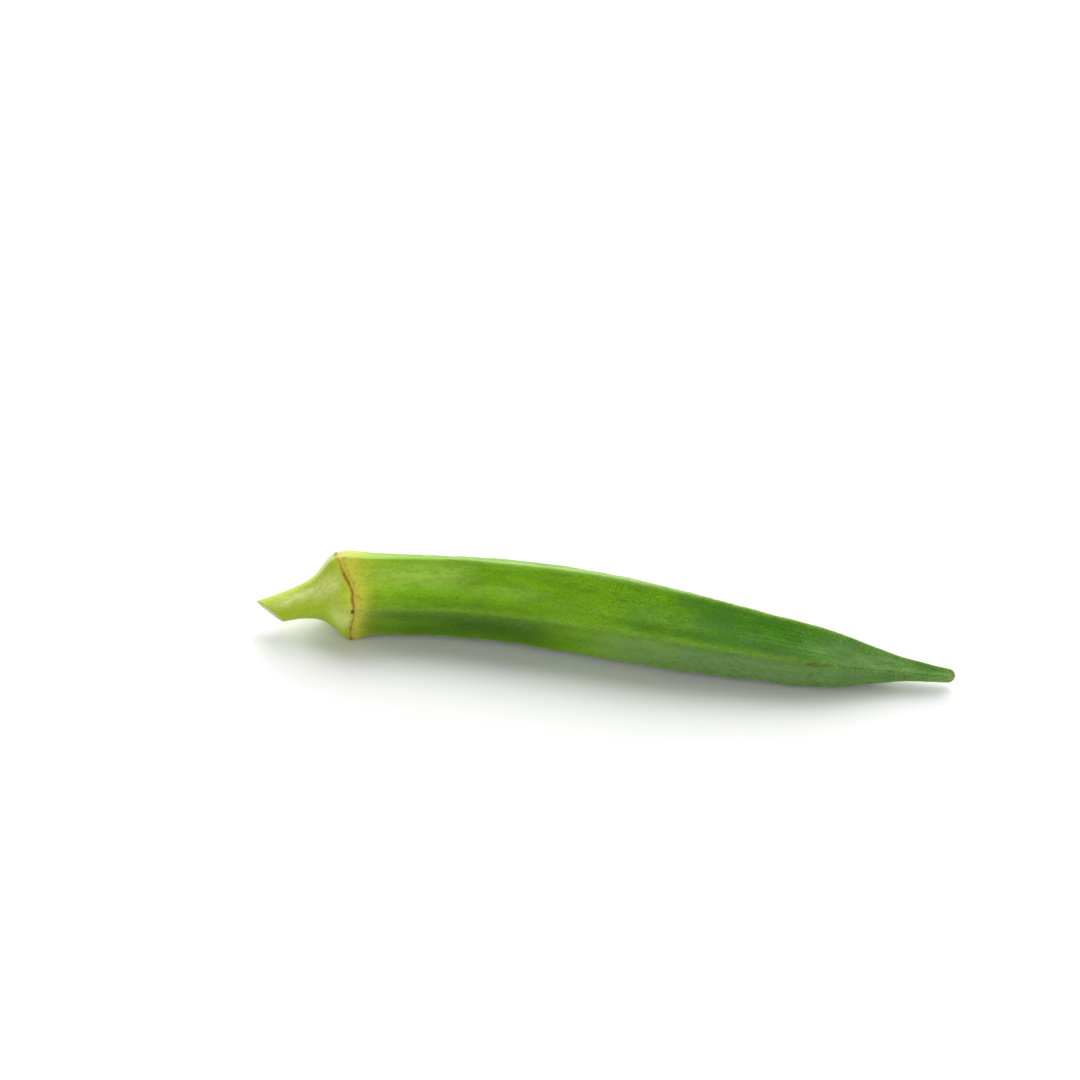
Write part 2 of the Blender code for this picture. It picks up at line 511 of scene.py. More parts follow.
def to_frame(points, plain):
    """Points moved as the plain skin has to move for its box to sit where the solid's box does."""
    low, high = (np.array(corner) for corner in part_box(NODE))
    plain_low = plain.reshape(-1, 3).min(axis=0)
    plain_high = plain.reshape(-1, 3).max(axis=0)
    shift = 0.5 * (low + high) - 0.5 * (plain_low + plain_high)
    shift[2] = low[2] - plain_low[2]
    moved = points + shift
    moved[..., 2] = np.maximum(moved[..., 2], low[2] + SKIN_CLEARANCE_MM * MM)
    return moved


def cut_surface(rim, inward):
    """Rings of the stalk's cut face: the rim shrunk towards its middle, each at its own depth."""
    middle = rim.mean(axis=0)
    around = np.arange(len(rim)) * 2.0 * math.pi / len(rim)
    rings = []
    for share, depth in CUT_PROFILE[::-1]:
        ragged = CUT_RIPPLE_MM * ripples(share, around, *CUT_RIPPLE)
        sink = depth + ragged * min(1.0, share / 0.3)
        rings.append(middle + (rim - middle) * share + inward * sink[:, None] * MM)
    return np.array(rings)


def way_round(corners, sides):
    """Share of the way round for the corners of each face; the last side's far edge gets 1, not 0."""
    side = corners % sides
    closes = side.max(axis=1) == sides - 1
    return (side + (side == 0) * closes[:, None] * sides) / sides


def tube_map(grid, faces, fan_rings):
    """Flat map of a tube: across by the length along it, up by the share of the way round.

    The tip of each triangle in an end's fan lies in the middle of its own side.
    """
    rings, sides = grid.shape[:2]
    steps = np.linalg.norm(np.diff(grid.mean(axis=1), axis=0), axis=1)
    spread = np.abs(np.diff(np.linalg.norm(grid - grid.mean(axis=1)[:, None], axis=-1).mean(axis=1)))
    across = np.r_[0.0, np.cumsum(np.hypot(steps, spread))]
    across = MAP_MARGIN + (1.0 - 2.0 * MAP_MARGIN) * across / across[-1]
    quads = faces[0]
    parts = [np.stack([across[quads // sides], way_round(quads, sides)], axis=-1).reshape(-1, 2)]
    for fan, ring, tip in zip(faces[1:], fan_rings, (0.0, 1.0)):
        up = way_round(fan[:, :2], sides)
        middle = up.mean(axis=1)[:, None]
        places = np.full((len(fan), 3), across[ring])
        places[:, 2] = tip
        parts.append(np.stack([places, np.concatenate([up, middle], axis=1)], axis=-1).reshape(-1, 2))
    return np.concatenate(parts)


def loop_faces(rings, sides):
    """Quads between neighbouring rings of a closed tube, facing out when rings run towards +X."""
    ring, side = np.meshgrid(np.arange(rings - 1), np.arange(sides), indexing="ij")
    a = ring * sides + side
    b = ring * sides + (side + 1) % sides
    return np.stack([a, a + sides, b + sides, b], axis=-1).reshape(-1, 4)


def fan_faces(start, sides, tip, outward):
    """Triangles from the ring that begins at start to the point tip."""
    side = start + np.arange(sides)
    after = start + (np.arange(sides) + 1) % sides
    order = (after, side, np.full(sides, tip)) if outward else (side, after, np.full(sides, tip))
    return np.stack(order, axis=-1)


def new_mesh(name, points, faces):
    """Mesh from an array of points and a list of face arrays, smooth shaded."""
    mesh = bpy.data.meshes.new(name)
    mesh.from_pydata(points, [], [face for part in faces for face in part.tolist()])
    mesh.update()
    mesh.shade_smooth()
    return mesh


def add_vectors(mesh, name, values):
    """Stores one vector for each point of the mesh, for the materials to read."""
    layer = mesh.attributes.new(name, "FLOAT_VECTOR", "POINT")
    layer.data.foreach_set("vector", np.ascontiguousarray(values, dtype=np.float32).ravel())


def add_map(mesh, values):
    """Stores a place on a flat map for each corner of each face, for baking the piece's colours."""
    layer = mesh.uv_layers.new(name="OFBake")
    layer.uv.foreach_set("vector", np.ascontiguousarray(values, dtype=np.float32).ravel())


def show(context, name, mesh, materials):
    """Puts the mesh into the scene as an object at the origin."""
    piece = bpy.data.objects.new(name, mesh)
    for material in materials:
        piece.data.materials.append(material)
    context.scene.collection.objects.link(piece)
    return piece


# ---------------------------------------------------------------- shader building


def node(tree, kind, inputs=None, **settings):
    """Adds a node, sets its settings, and links or sets its inputs by name or index."""
    made = tree.nodes.new(kind)
    for key, value in settings.items():
        setattr(made, key, value)
    for key, value in (inputs or {}).items():
        if isinstance(value, bpy.types.NodeSocket):
            tree.links.new(value, made.inputs[key])
        else:
            made.inputs[key].default_value = value
    return made


def maths(tree, operation, *values, clamp=False):
    """Math node's result for up to three values or sockets."""
    made = node(tree, "ShaderNodeMath", dict(enumerate(values)), operation=operation, use_clamp=clamp)
    return made.outputs[0]


def product(tree, *values):
    """Product of two or more values or sockets."""
    result = values[0]
    for value in values[1:]:
        result = maths(tree, "MULTIPLY", result, value)
    return result


def mixed(tree, factor, first, second, blend="MIX"):
    """Mix of two colours."""
    inputs = {0: factor, 6: first, 7: second}
    made = node(tree, "ShaderNodeMix", inputs, data_type="RGBA", blend_type=blend)
    return made.outputs[2]


def fitted(tree, value, low, high, to_low=0.0, to_high=1.0, smooth=True):
    """Value mapped from low..high to to_low..to_high and held inside."""
    inputs = {"Value": value, 1: low, 2: high, 3: to_low, 4: to_high}
    kind = "SMOOTHSTEP" if smooth else "LINEAR"
    return node(tree, "ShaderNodeMapRange", inputs, interpolation_type=kind).outputs[0]


def swing(tree, value, reach, low=0.30, high=0.70):
    """Value turned into a swing between minus and plus reach."""
    return fitted(tree, value, low, high, -reach, reach, smooth=False)


def ramp(tree, factor, stops):
    """Colour ramp through the stops, each a place and a colour."""
    made = node(tree, "ShaderNodeValToRGB", {"Fac": factor})
    band = made.color_ramp
    while len(band.elements) < len(stops):
        band.elements.new(0.5)
    for element, (place, colour) in zip(band.elements, stops):
        element.position = place
        element.color = (*colour[:3], 1.0)
    return made.outputs[0]


def attribute(tree, name):
    """The named vector of the piece."""
    return node(tree, "ShaderNodeAttribute", attribute_name=name).outputs["Vector"]


def attribute_parts(tree, name):
    """The three values that the named vector of the piece holds."""
    return tuple(node(tree, "ShaderNodeSeparateXYZ", {0: attribute(tree, name)}).outputs)


def noise(tree, vector, scale, detail=2.0, roughness=0.5):
    """Noise, 0 to 1."""
    inputs = {"Vector": vector, "Scale": scale, "Detail": detail, "Roughness": roughness}
    return node(tree, "ShaderNodeTexNoise", inputs).outputs["Fac"]


def stretched(tree, vector, along, across):
    """The vector scaled by along in X and by across in Y and Z."""
    inputs = {0: vector, 1: (along, across, across)}
    return node(tree, "ShaderNodeVectorMath", inputs, operation="MULTIPLY").outputs[0]


def new_group(name, values, results):
    """Empty shader node group that takes a vector and the named values, and its two end nodes."""
    tree = bpy.data.node_groups.new(name, "ShaderNodeTree")
    tree.interface.new_socket("Vector", in_out="INPUT", socket_type="NodeSocketVector")
    for label, default in values.items():
        socket = tree.interface.new_socket(label, in_out="INPUT", socket_type="NodeSocketFloat")
        socket.default_value = default
    for label in results:
        tree.interface.new_socket(label, in_out="OUTPUT", socket_type="NodeSocketFloat")
    return tree, tree.nodes.new("NodeGroupInput").outputs, tree.nodes.new("NodeGroupOutput").inputs


def fibre_group():
    """Lengthwise plant fibres: noise drawn out along X, coarse and fine together, and the fine part."""
    values = {"Along": 0.06, "Across": 1.2}
    tree, given, result = new_group("plant_fibres", values, ("Fibres", "Fine"))
    scale = node(tree, "ShaderNodeCombineXYZ", {0: given["Along"], 1: given["Across"], 2: given["Across"]})
    factors = {0: given["Vector"], 1: scale.outputs[0]}
    drawn = node(tree, "ShaderNodeVectorMath", factors, operation="MULTIPLY").outputs[0]
    coarse = noise(tree, drawn, 1.0, 3.0, 0.6)
    fine = noise(tree, drawn, 2.7, 3.0, 0.65)
    both = maths(tree, "ADD", product(tree, coarse, 0.6), product(tree, fine, 0.4))
    tree.links.new(both, result["Fibres"])
    tree.links.new(fine, result["Fine"])
    return tree


def speck_group():
    """Small round specks: nearness to scattered cell centres; each cell has its own speck size."""
    values = {"Scale": 1.0, "Size": 0.2, "Share": 0.5}
    tree, given, result = new_group("plant_specks", values, ("Specks",))
    scattered = {"Vector": given["Vector"], "Scale": given["Scale"]}
    cells = node(tree, "ShaderNodeTexVoronoi", scattered).outputs
    chance = node(tree, "ShaderNodeSeparateColor", {0: cells["Color"]}).outputs
    chosen = maths(tree, "LESS_THAN", chance[0], given["Share"])
    width = product(tree, given["Size"], maths(tree, "ADD", 0.5, chance[1]))
    spot = fitted(tree, cells["Distance"], width, product(tree, width, 0.35), smooth=False)
    tree.links.new(product(tree, spot, chosen), result["Specks"])
    return tree


def blotch_group():
    """Soft blotches: noise with its low part cut off and its high part held, 0 to 1."""
    values = {"Scale": 1.0, "Low": 0.45, "High": 0.65}
    tree, given, result = new_group("plant_blotches", values, ("Blotches",))
    field = noise(tree, given["Vector"], given["Scale"], 3.0, 0.55)
    tree.links.new(fitted(tree, field, given["Low"], given["High"]), result["Blotches"])
    return tree


GROUPS = {"plant_fibres": fibre_group, "plant_specks": speck_group, "plant_blotches": blotch_group}


def use_group(tree, name, inputs):
    """Results of the named node group, which is built the first time that it is asked for."""
    group = bpy.data.node_groups.get(name) or GROUPS[name]()
    return node(tree, "ShaderNodeGroup", inputs, node_tree=group).outputs


def length_colours(look):
    """Stops of the skin's colour along the pod, from the cut stalk to the beak's end."""
    settings = (look.cap_colour, look.collar_colour, look.body_colour, look.far_colour, look.beak_colour)
    cap, collar, body, far, beak = (np.array(colour[:3]) for colour in settings)
    return (
        (0.00, cap),
        (0.10, 0.92 * cap),
        (0.12, 0.6 * cap + 0.4 * collar),
        (0.155, 0.45 * cap + 0.60 * body),
        (0.20, 1.12 * body),
        (0.30, 0.97 * body),
        (0.50, 0.95 * body),
        (0.58, 0.6 * body + 0.4 * far),
        (0.67, far),
        (0.80, 1.05 * far),
        (0.88, 0.4 * far + 0.6 * beak),
        (0.975, beak),
        (0.992, 0.9 * beak + 0.1 * np.array(TIP_ROSE)),
        (1.0, TIP_BROWN),
    )


def new_material(name):
    """New material, with its node tree and its Principled BSDF."""
    material = bpy.data.materials.new(name)
    material.use_nodes = True
    return material, material.node_tree, material.node_tree.nodes["Principled BSDF"]


def shaded_skin(tree, colour, grain, parts):
    """Colour with faint lengthwise streaks, broad clouds and a fine velvety grain."""
    at, gap, streak, velvet = parts
    clouds = noise(tree, stretched(tree, grain, 0.10, 0.22), 1.0, 3.0, 0.55)
    velvety = product(tree, swing(tree, velvet, 0.42, 0.32, 0.68), fitted(tree, at, 0.30, 0.55, 0.60, 1.0))
    shade = maths(tree, "ADD", swing(tree, streak, 0.20), swing(tree, clouds, 0.13))
    shade = maths(tree, "ADD", shade, velvety)
    on_body = fitted(tree, gap, -1.0, 6.0, 0.45, 1.0)
    shade = maths(tree, "ADD", 1.0, product(tree, shade, on_body))
    grey = node(tree, "ShaderNodeCombineColor", {0: shade, 1: shade, 2: shade})
    return mixed(tree, 1.0, colour, grey.outputs[0], "MULTIPLY")


def patched_skin(tree, colour, grain, parts):
    """Colour with deep patches on the far half, bloom with painted highlights and reflection, painted
    shade and yellower ridges.
    """
    at, ridge, gap, bloom_and_light, cloudy = parts
    placed = {"Vector": stretched(tree, grain, 0.13, 0.20), "Scale": 1.0, "Low": 0.46, "High": 0.62}
    deep = use_group(tree, "plant_blotches", placed)[0]
    deep = product(tree, deep, fitted(tree, at, 0.45, 0.68, 0.10, 0.65))
    colour = mixed(tree, deep, colour, DEEP_GREEN)

    # Bloom and the painted highlights and reflection are pale, cloudy and drawn out along the pod; where
    # the value is negative the skin gets painted shade.
    bloomed_and_lit = product(tree, bloom_and_light, fitted(tree, cloudy, 0.30, 0.62, 0.35, 1.0))
    bloomed_and_lit = maths(tree, "MULTIPLY", bloomed_and_lit, 0.75, clamp=True)
    colour = mixed(tree, bloomed_and_lit, colour, ramp(tree, at, BLOOM_AND_HIGHLIGHT_STOPS))
    shaded = fitted(tree, bloom_and_light, 0.0, -1.0, 0.0, 0.95, smooth=False)
    colour = mixed(tree, shaded, colour, SHADED_GREEN)

    # The ridges are a little yellower than the sides, except on the beak.
    on_ridge = product(tree, ridge, fitted(tree, gap, 0.0, 8.0), fitted(tree, at, 0.84, 0.74, 0.15, 1.0))
    on_ridge = product(tree, on_ridge, fitted(tree, cloudy, 0.35, 0.60, 0.15, 0.50))
    return mixed(tree, on_ridge, colour, RIDGE_GREEN)


def scarred_skin(tree, colour, grain, parts, look):
    """Colour with the pale freckled collar, the scar line and its knots, and the line's mask."""
    gap, knot, cloudy = parts
    strayed = maths(tree, "ADD", gap, product(tree, maths(tree, "SUBTRACT", cloudy, 0.5), 5.0))
    behind = product(tree, fitted(tree, gap, -0.1, 0.3), fitted(tree, strayed, 5.2, 1.2), 0.75)
    colour = mixed(tree, behind, colour, (*look.collar_colour[:3], 1.0))
    placed = {"Vector": grain, "Scale": 1.1, "Low": 0.50, "High": 0.66}
    freckles = use_group(tree, "plant_blotches", placed)[0]
    freckled = product(tree, freckles, fitted(tree, gap, 5.0, 1.0), fitted(tree, gap, 0.0, 1.0), 0.60)
    colour = mixed(tree, freckled, colour, FRECKLE_BROWN)

    # The line wavers, stains the skin beside it, and is broader and darker here and there.
    uneven = noise(tree, grain, 0.35, 3.0)
    ragged = product(tree, maths(tree, "SUBTRACT", noise(tree, grain, 1.1, 3.0), 0.5), 0.60)
    off_line = maths(tree, "ABSOLUTE", maths(tree, "ADD", gap, ragged))
    colour = mixed(tree, fitted(tree, off_line, 1.20, 0.20, 0.0, 0.60), colour, STAIN_BROWN)
    narrowed = product(tree, off_line, fitted(tree, uneven, 0.38, 0.62, 1.5, 0.75))
    line = fitted(tree, narrowed, 0.48, 0.08)
    inked = product(tree, line, fitted(tree, uneven, 0.38, 0.60, 0.40, 0.95))
    colour = mixed(tree, inked, colour, (*look.scar_colour[:3], 1.0))
    return mixed(tree, fitted(tree, knot, 0.30, 0.80, 0.0, 0.90), colour, KNOT_BROWN), line


def skin_material(look):
    """Living skin: colour runs from the yellow-green stalk past the scar to the deep green beak."""
    material, tree, shader = new_material("okra_skin")
    grain = attribute(tree, "grain")
    at, ridge, gap = attribute_parts(tree, "place")
    # The third stored part is bloom with painted highlights and reflection, less painted shade.
    mark, knot, bloom_and_light = attribute_parts(tree, "wear")
    drawn = {"Vector": grain, "Along": 0.09, "Across": 1.1}
    fibres = use_group(tree, "plant_fibres", drawn)
    streak, fine = fibres["Fibres"], fibres["Fine"]
    velvet = noise(tree, grain, 2.6, 3.0, 0.7)
    cloudy = noise(tree, stretched(tree, grain, 0.55, 1.2), 1.0, 4.0, 0.65)

    wander = product(tree, maths(tree, "SUBTRACT", streak, 0.5), 0.05)
    colour = ramp(tree, maths(tree, "ADD", at, wander), length_colours(look))
    colour = shaded_skin(tree, colour, grain, (at, gap, streak, velvet))
    colour = patched_skin(tree, colour, grain, (at, ridge, gap, bloom_and_light, cloudy))
    colour, line = scarred_skin(tree, colour, grain, (gap, knot, cloudy), look)

    # Pale specks and old scrapes.
    scattered = {"Vector": grain, "Scale": 0.9, "Size": 0.15, "Share": 0.5}
    light = use_group(tree, "plant_specks", scattered)[0]
    colour = mixed(tree, product(tree, light, 0.30), colour, SPECK_GREEN)
    scuffed = noise(tree, stretched(tree, grain, 0.8, 2.2), 1.0, 4.0)
    scraped = product(tree, mark, fitted(tree, scuffed, 0.34, 0.52, 0.2, 1.0))
    scraped = maths(tree, "MULTIPLY", scraped, 0.9, clamp=True)
    colour = mixed(tree, scraped, colour, SCRAPE_BROWN)

    dull = noise(tree, stretched(tree, grain, 0.4, 0.9), 1.0, 3.0)
    dull = fitted(tree, dull, 0.35, 0.65, 0.36, 0.50)
    height = product(tree, fine, fitted(tree, at, 0.50, 0.70, 0.35, 0.10))
    height = maths(tree, "ADD", height, product(tree, velvet, 0.45))
    height = maths(tree, "ADD", height, product(tree, light, 0.20))
    bump = node(tree, "ShaderNodeBump", {"Height": height, "Distance": look.bump, "Strength": 0.7})
    tree.links.new(colour, shader.inputs["Base Color"])
    tree.links.new(maths(tree, "ADD", dull, product(tree, line, 0.25)), shader.inputs["Roughness"])
    tree.links.new(bump.outputs[0], shader.inputs["Normal"])
    shader.inputs["Specular IOR Level"].default_value = 0.18
    shader.inputs["Sheen Weight"].default_value = 0.16
    shader.inputs["Sheen Roughness"].default_value = 0.28
    shader.inputs["Sheen Tint"].default_value = (0.80, 0.95, 0.72, 1.0)
    return material


def cut_material(look):
    """The stalk's cut: green rim, yellow-green flesh with a ring of vessels, pale pith, and a dark core
    that is painted shade for its small hollow.
    """
    material, tree, shader = new_material("okra_cut")
    share = product(tree, attribute_parts(tree, "place")[0], -1.0)
    grain = attribute(tree, "grain")
    wobble = product(tree, maths(tree, "SUBTRACT", noise(tree, grain, 1.2, 3.0), 0.5), 0.12)
    colour = ramp(tree, maths(tree, "ADD", share, wobble), (*CUT_STOPS, (1.00, look.cap_colour)))

    scattered = {"Vector": grain, "Scale": 2.4, "Size": 0.22, "Share": 0.7}
    vessels = use_group(tree, "plant_specks", scattered)[0]
    in_band = product(tree, fitted(tree, share, 0.50, 0.56), fitted(tree, share, 0.72, 0.66), 0.5)
    colour = mixed(tree, product(tree, vessels, in_band), colour, VESSEL_CREAM)
    placed = {"Vector": grain, "Scale": 0.8, "Low": 0.50, "High": 0.70}
    dried = use_group(tree, "plant_blotches", placed)[0]
    colour = mixed(tree, product(tree, dried, 0.30), colour, DRIED_CREAM)

    height = noise(tree, grain, 4.0, 4.0)
    bump = node(tree, "ShaderNodeBump", {"Height": height, "Distance": look.bump, "Strength": 0.8})
    tree.links.new(colour, shader.inputs["Base Color"])
    tree.links.new(fitted(tree, vessels, 0.0, 1.0, 0.55, 0.40), shader.inputs["Roughness"])
    tree.links.new(bump.outputs[0], shader.inputs["Normal"])
    shader.inputs["Specular IOR Level"].default_value = 0.4
    return material


def fuzz_material(look):
    """Plant hairs: green where the skin shows through them, pale on the ridges and at their tips."""
    material, tree, shader = new_material("okra_fuzz")
    paleness, along, _ = attribute_parts(tree, "tone")
    coordinates = node(tree, "ShaderNodeTexCoord")
    clumps = noise(tree, coordinates.outputs["Object"], 260.0, 2.0)
    pale = maths(tree, "ADD", paleness, swing(tree, clumps, 0.15, 0.35, 0.65))
    pale = maths(tree, "ADD", pale, product(tree, along, 0.15), clamp=True)
    colour = mixed(tree, pale, (*look.fuzz_green[:3], 1.0), (*look.fuzz_colour[:3], 1.0))
    tree.links.new(colour, shader.inputs["Base Color"])
    shader.inputs["Roughness"].default_value = 0.6
    shader.inputs["Specular IOR Level"].default_value = 0.3
    return material


def floor_material(stage):
    """Matt white studio floor, very slightly uneven in tone, that glows faintly far from the pod."""
    material, tree, shader = new_material("studio_floor")
    coordinates = node(tree, "ShaderNodeTexCoord").outputs["Object"]
    pale = stage.floor_colour[:3]
    stops = ((0.3, [0.99 * channel for channel in pale]), (0.7, pale))
    tree.links.new(ramp(tree, noise(tree, coordinates, 3.0, 2.0), stops), shader.inputs["Base Color"])
    distance = node(tree, "ShaderNodeVectorMath", {0: coordinates}, operation="LENGTH").outputs["Value"]
    glow = fitted(tree, distance, *GLOW_RANGE, 0.0, GLOW)
    tree.links.new(glow, shader.inputs["Emission Strength"])
    shader.inputs["Emission Color"].default_value = (1.0, 1.0, 1.0, 1.0)
    shader.inputs["Roughness"].default_value = 0.85
    shader.inputs["Specular IOR Level"].default_value = 0.1
    return material


# ---------------------------------------------------------------- the pieces


def build_skin(context):
    """One closed skin: the cut face's rings, the stalk, cap, scar, pod and beak."""
    shape = context.scene.okra_shape
    look = context.scene.okra_look
    plain = skin_surface(shape, relief=False)[0]
    skin, places, turns, reach, along = skin_surface(shape)
    cut = cut_surface(skin[0], along[0])
    middle = skin[0].mean(axis=0) + along[0] * CORE_DEPTH_MM * MM
    beak_end = axis_frames(np.array([1.0 - NOSE, 1.0]))[0][1]
    grid = np.concatenate([cut, skin])
    rings = len(grid)
    points = np.vstack([grid.reshape(-1, 3), middle, beak_end])
    points = to_frame(points, plain)

    arc_mm = reach / MM
    grain = np.stack([places * LENGTH / MM, arc_mm * np.cos(turns), arc_mm * np.sin(turns)], -1)
    ridge = bell(ridge_gap(turns) * arc_mm, RIB_HALF_WIDTH_MM)
    gap = np.clip(scar_gap_mm(places, turns), -SCAR_REACH_MM, SCAR_REACH_MM)
    place = np.stack([places, ridge, gap], -1)
    marks = oval_mask(MARKS, places, turns, arc_mm)
    # Third stored part: bloom with painted highlights and reflection, less painted shade.
    bloom_and_light = oval_mask(BLOOMS_AND_HIGHLIGHTS, places, turns, arc_mm) - oval_mask(SHADES, places, turns, arc_mm)
    wear = np.stack([marks, knot_bumps(gap, turns, arc_mm), bloom_and_light], -1)
    cut_share = np.array([share for share, _ in CUT_PROFILE[::-1]])[:, None, None]
    across_cut = (cut - skin[0].mean(axis=0)) / MM
    cut_place = np.broadcast_to(-cut_share * np.array([1.0, 0.0, 0.0]), across_cut.shape)
    ends = np.array([[0.0, 0.0, 0.0], [1.0, 0.0, SCAR_REACH_MM]])

    last = (rings - 1) * SIDES
    count = rings * SIDES
    faces = [
        loop_faces(rings, SIDES),
        fan_faces(0, SIDES, count, outward=False),
        fan_faces(last, SIDES, count + 1, outward=True),
    ]
    mesh = new_mesh("okra_skin", points, faces)
    add_map(mesh, tube_map(grid, faces, (0, rings - 1)))
    slots = np.zeros(len(mesh.polygons), dtype=np.int32)
    slots[: len(cut) * SIDES] = 1
    slots[len(faces[0]) : len(faces[0]) + SIDES] = 1
    mesh.polygons.foreach_set("material_index", slots)
    tip_grain = np.array([[0.0, 0.0, 0.0], [LENGTH / MM, 0.0, 0.0]])
    add_vectors(mesh, "grain", np.vstack([across_cut.reshape(-1, 3), grain.reshape(-1, 3), tip_grain]))
    add_vectors(mesh, "place", np.vstack([cut_place.reshape(-1, 3), place.reshape(-1, 3), ends]))
    blank = np.zeros((len(cut) * SIDES, 3))
    add_vectors(mesh, "wear", np.vstack([blank, wear.reshape(-1, 3), np.zeros((2, 3))]))
    piece = show(context, "okra_skin", mesh, (skin_material(look), cut_material(look)))
    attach(piece, BODY)
    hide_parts(NODE)
    return piece


def hair_roots(shape, count, rng):
    """Random places on the skin, with the outward and lengthwise directions and the paleness there.

    A cell of the skin's grid is drawn by its area times a density that is higher on the ridges,
    most of all on the top one, and lower on the cap; the root is a random point of the cell.
    Paleness rises on the ridges, towards the beak and on the cap, and most along the top ridge's
    band, where it is partly a painted highlight. The roots come in the order of a map's rows: by
    their place along the pod, and inside a row by paleness.
    """
    plain = skin_surface(shape, relief=False)[0]
    skin, places, turns, reach, _ = skin_surface(shape)
    skin = to_frame(skin, plain)
    wrap = np.concatenate([skin, skin[:, :1]], axis=1)
    a, b, c, d = wrap[:-1, :-1], wrap[:-1, 1:], wrap[1:, 1:], wrap[1:, :-1]
    facing = np.cross(c - a, b - d)
    area = np.linalg.norm(facing, axis=-1)
    outward = facing / np.maximum(area, 1e-12)[..., None]
    at = places[:-1]
    arc = reach[:-1] / MM
    ridge = bell(ridge_gap(turns[:-1]) * arc, 0.9)
    # Along the top ridge, from about a fifth to two thirds of the length, the hairs are denser and paler;
    # the paleness is partly a painted highlight of the lit top band.
    downy_and_highlight = bell(turn_gap(turns[:-1], math.radians(4.0)) * arc, 1.1)
    downy_and_highlight = downy_and_highlight * smooth_step(at, 0.18, 0.30) * smooth_step(at, 0.70, 0.50)
    density = (0.30 + 0.70 * smooth_step(at, 0.05, 0.16)) * (1.0 + 1.5 * ridge + 2.0 * downy_and_highlight)
    density = density * (1.0 - 0.6 * smooth_step(at, 0.85, 0.95))
    weight = (area * density).ravel()
    cell = rng.choice(weight.size, size=count, p=weight / weight.sum())
    u = rng.uniform(size=count)[:, None]
    v = rng.uniform(size=count)[:, None]
    corners = [part.reshape(-1, 3)[cell] for part in (a, b, c, d)]
    near_side = (1 - v) * corners[0] + v * corners[1]
    far_side = (1 - v) * corners[3] + v * corners[2]
    root = (1 - u) * near_side + u * far_side
    forward = unit(corners[3] + corners[2] - corners[0] - corners[1])
    far, cap = smooth_step(at, 0.5, 0.8), smooth_step(at, 0.13, 0.09)
    pale = 0.03 + 0.24 * ridge + 0.45 * downy_and_highlight + 0.06 * far + 0.45 * cap
    pale = np.clip(pale, 0.0, 1.0).ravel()[cell]
    rank = np.argsort(np.argsort(root[:, 0]))
    order = np.lexsort((pale, rank // map_columns(count)))
    return root[order], outward.reshape(-1, 3)[cell][order], forward[order], pale[order]


def unit(vectors):
    """Vectors scaled to length 1."""
    return vectors / np.linalg.norm(vectors, axis=1)[:, None]


def map_columns(count):
    """Columns of the square map that has a small cell for each of count hairs."""
    return math.ceil(math.sqrt(count))


def hair_points(shape, count, length, thickness, bends, seed):
    """Points of each hair, and its paleness, for the hairs that clear the floor.

    A hair leaves the skin near its normal, leans towards the beak and narrows from its root to a
    point. A bent one has a second ring half way, where it turns further over.
    """
    rng = np.random.default_rng(seed)
    root, normal, forward, pale = hair_roots(shape, count, rng)
    size = length * rng.uniform(0.45, 1.25, size=(count, 1))
    stray = rng.normal(scale=0.30, size=(count, 3))
    lean = rng.uniform(0.1, 0.9, size=(count, 1))
    rise = unit(normal + 0.5 * lean * forward + stray)
    turned = unit(normal + 1.6 * lean * forward + 1.3 * stray)
    base = root - ROOT_DEPTH_MM * MM * normal
    half = base + 0.5 * size * rise
    tip = half + 0.5 * size * (turned if bends else rise)
    across = unit(np.cross(rise, forward))
    other = np.cross(rise, across)
    turn = (np.arange(3) * 2.0 * math.pi / 3.0)[None, :, None]
    circle = across[:, None] * np.cos(turn) + other[:, None] * np.sin(turn)
    rings = [base[:, None] + 0.5 * thickness * circle, tip[:, None]]
    if bends:
        rings.insert(1, half[:, None] + 0.3 * thickness * circle)
    points = np.concatenate(rings, axis=1)
    clear = (points[:, :, 2] > HAIR_CLEARANCE_MM * MM).all(axis=1)
    clear &= base[:, 2] > ROOT_CLEARANCE_MM * MM
    return points[clear], pale[clear]


def hair_map(count, low):
    """Places on the flat map for the corners of all the hairs' threes, then of all their fours.

    Each hair has a cell of a square grid, inside a border. The root's wall is a triangle at the
    cell's foot, each wall of four a square on it, and each wall that ends at the tip a triangle.
    """
    columns = map_columns(count)
    number = np.arange(count)
    cell = np.stack([number % columns, number // columns], axis=1)[:, None, :]
    threes = [(2, 0), (1, -1), (0, 0)]
    fours = []
    for wall in range(3):
        threes += [(wall, low), (wall + 1, low), (wall + 0.5, 2)]
        fours += [(wall, 0), (wall + 1, 0), (wall + 1, 1), (wall, 1)]
    parts = (threes, fours if low else np.zeros((0, 2)))
    places = [(cell + 0.1 + 0.8 * (np.array(part) + (0, 1)) / 3.0) / columns for part in parts]
    return np.concatenate([place.reshape(-1, 2) for place in places])


def hair_piece(context, name, count, length, thickness, bends, seed):
    """Piece of short hairs, each a closed three-sided spike."""
    points, pale = hair_points(context.scene.okra_shape, count, length, thickness, bends, seed)
    form = BENT_HAIR if bends else STRAIGHT_HAIR
    kept, each = points.shape[:2]
    offset = (np.arange(kept) * each)[:, None, None]
    threes = np.array(form["threes"]) + offset
    fours = np.array(form["fours"], dtype=int).reshape(-1, 4) + offset
    mesh = new_mesh(name, points.reshape(-1, 3), (threes.reshape(-1, 3), fours.reshape(-1, 4)))
    add_map(mesh, hair_map(kept, form["low"]))
    tones = np.zeros((kept, each, 3))
    tones[..., 0] = pale[:, None]
    tones[..., 1] = form["shares"]
    add_vectors(mesh, "tone", tones.reshape(-1, 3))
    material = bpy.data.materials.get("okra_fuzz") or fuzz_material(context.scene.okra_look)
    piece = show(context, name, mesh, (material,))
    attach(piece, BODY)
    return piece


